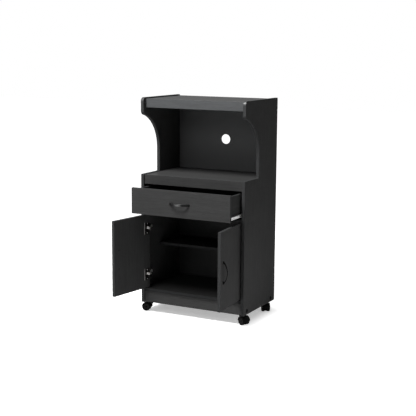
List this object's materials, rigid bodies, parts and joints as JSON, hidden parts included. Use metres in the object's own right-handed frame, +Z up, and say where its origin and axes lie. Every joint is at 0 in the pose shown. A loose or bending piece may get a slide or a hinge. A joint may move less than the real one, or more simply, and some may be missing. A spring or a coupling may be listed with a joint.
{
  "type": "kitchen cabinet",
  "caption": "Rolling kitchen cabinet with an open hutch for an oven above a drawer and a two-door cupboard with a half shelf.",
  "frame": {"origin": "on the floor, midway between the side panels and midway between the front and the back", "axes": "+Z up, -Y out of the front, +X to the right as seen from the front"},
  "size_m": [0.6593, 0.6468, 1.1364],
  "materials": {
    "laminate": "satin dark charcoal melamine on particle board",
    "steel": "zinc plated",
    "hinge_steel": "nickel plated",
    "dowel_wood": "plain beech",
    "cap_plastic": "satin black",
    "slide_enamel": "white epoxy coat",
    "roller_plastic": "satin off-white",
    "handle_black": "gloss black",
    "caster_steel": "black coat",
    "caster_plastic": "semi-gloss black"
  },
  "bodies": {
    "carcass": {"left_side_panel": "laminate", "right_side_panel": "laminate", "top_panel": "laminate", "top_fascia": "laminate", "worktop": "laminate", "worktop_fascia": "laminate", "divider_rail": "laminate", "bottom_panel": "laminate", "plinth": "laminate", "front_caster_rail": "laminate", "rear_caster_rail": "laminate", "upper_back": "laminate", "lower_back": "laminate", "half_shelf": "laminate", "shelf_pins": "steel", "cam_locks": "steel", "cam_studs": "steel", "dowels": "dowel_wood", "rail_screws": "steel", "screw_caps": "cap_plastic", "back_nails": "steel", "left_slide_channel": "slide_enamel", "right_slide_channel": "slide_enamel", "carcass_screws": "steel", "hinge_arms": "hinge_steel", "caster_plates": "caster_steel", "caster_screws": "steel"},
    "drawer": {"drawer_front": "laminate", "drawer_left_side": "laminate", "drawer_right_side": "laminate", "drawer_back": "laminate", "drawer_base": "laminate", "drawer_handle": "handle_black", "drawer_screws": "steel", "drawer_dowels": "dowel_wood", "left_slide_runner": "slide_enamel", "right_slide_runner": "slide_enamel"},
    "left_door_leaf": {"left_door": "laminate", "left_door_handle": "handle_black", "left_door_screws": "steel", "left_hinge_cups": "hinge_steel", "left_hinge_pins": "hinge_steel"},
    "right_door_leaf": {"right_door": "laminate", "right_door_handle": "handle_black", "right_door_screws": "steel", "right_hinge_cups": "hinge_steel", "right_hinge_pins": "hinge_steel"},
    "front_left_roller_wheel": {"front_left_roller": "roller_plastic"},
    "front_right_roller_wheel": {"front_right_roller": "roller_plastic"},
    "rear_left_roller_wheel": {"rear_left_roller": "roller_plastic"},
    "rear_right_roller_wheel": {"rear_right_roller": "roller_plastic"},
    "front_left_caster_fork": {"front_left_hood": "caster_plastic"},
    "front_left_caster_wheels": {"front_left_wheels": "caster_plastic"},
    "front_right_caster_fork": {"front_right_hood": "caster_plastic"},
    "front_right_caster_wheels": {"front_right_wheels": "caster_plastic"},
    "rear_left_caster_fork": {"rear_left_hood": "caster_plastic"},
    "rear_left_caster_wheels": {"rear_left_wheels": "caster_plastic"},
    "rear_right_caster_fork": {"rear_right_hood": "caster_plastic"},
    "rear_right_caster_wheels": {"rear_right_wheels": "caster_plastic"}
  },
  "joints": [
    {"name": "drawer_slide", "type": "slide", "parent": "carcass", "child": "drawer", "axis": [0, -1, 0], "range_m": [-0.125, 0.137]},
    {"name": "left_door_hinge", "type": "hinge", "parent": "carcass", "child": "left_door_leaf", "pos_m": [-0.26898, -0.1855, 0.3319], "axis": [0, 0, -1], "range_deg": [-99, 9]},
    {"name": "right_door_hinge", "type": "hinge", "parent": "carcass", "child": "right_door_leaf", "pos_m": [0.26898, -0.1855, 0.3319], "axis": [0, 0, 1], "range_deg": [-95, 13]},
    {"name": "front_left_roller_spin", "type": "hinge", "parent": "carcass", "child": "front_left_roller_wheel", "pos_m": [-0.2772, -0.1635, 0.56465], "axis": [1, 0, 0], "continuous": true},
    {"name": "front_right_roller_spin", "type": "hinge", "parent": "carcass", "child": "front_right_roller_wheel", "pos_m": [0.2772, -0.1635, 0.56465], "axis": [1, 0, 0], "continuous": true},
    {"name": "rear_left_roller_spin", "type": "hinge", "parent": "drawer", "child": "rear_left_roller_wheel", "pos_m": [-0.2772, 0.0355, 0.5637], "axis": [1, 0, 0], "continuous": true},
    {"name": "rear_right_roller_spin", "type": "hinge", "parent": "drawer", "child": "rear_right_roller_wheel", "pos_m": [0.2772, 0.0355, 0.5637], "axis": [1, 0, 0], "continuous": true},
    {"name": "front_left_caster_swivel", "type": "hinge", "parent": "carcass", "child": "front_left_caster_fork", "pos_m": [-0.264, -0.1485, 0.0504], "axis": [0, 0, 1], "continuous": true},
    {"name": "front_left_caster_roll", "type": "hinge", "parent": "front_left_caster_fork", "child": "front_left_caster_wheels", "pos_m": [-0.28899, -0.15567, 0.022], "axis": [0.2756, -0.9613, 0], "continuous": true},
    {"name": "front_right_caster_swivel", "type": "hinge", "parent": "carcass", "child": "front_right_caster_fork", "pos_m": [0.264, -0.1485, 0.0504], "axis": [0, 0, 1], "continuous": true},
    {"name": "front_right_caster_roll", "type": "hinge", "parent": "front_right_caster_fork", "child": "front_right_caster_wheels", "pos_m": [0.28775, -0.15907, 0.022], "axis": [0.4067, 0.9135, 0], "continuous": true},
    {"name": "rear_left_caster_swivel", "type": "hinge", "parent": "carcass", "child": "rear_left_caster_fork", "pos_m": [-0.264, 0.1495, 0.0504], "axis": [0, 0, 1], "continuous": true},
    {"name": "rear_left_caster_roll", "type": "hinge", "parent": "rear_left_caster_fork", "child": "rear_left_caster_wheels", "pos_m": [-0.28756, 0.13851, 0.022], "axis": [0.4226, -0.9063, 0], "continuous": true},
    {"name": "rear_right_caster_swivel", "type": "hinge", "parent": "carcass", "child": "rear_right_caster_fork", "pos_m": [0.264, 0.1495, 0.0504], "axis": [0, 0, 1], "continuous": true},
    {"name": "rear_right_caster_roll", "type": "hinge", "parent": "rear_right_caster_fork", "child": "rear_right_caster_wheels", "pos_m": [0.27854, 0.12795, 0.022], "axis": [0.829, 0.5592, 0], "continuous": true}
  ],
  "couplings": [
    {"joint": "front_left_roller_spin", "follows": "drawer_slide", "rad_per_m": 125},
    {"joint": "front_right_roller_spin", "follows": "drawer_slide", "rad_per_m": 125},
    {"joint": "rear_left_roller_spin", "follows": "drawer_slide", "rad_per_m": 125},
    {"joint": "rear_right_roller_spin", "follows": "drawer_slide", "rad_per_m": 125}
  ]
}
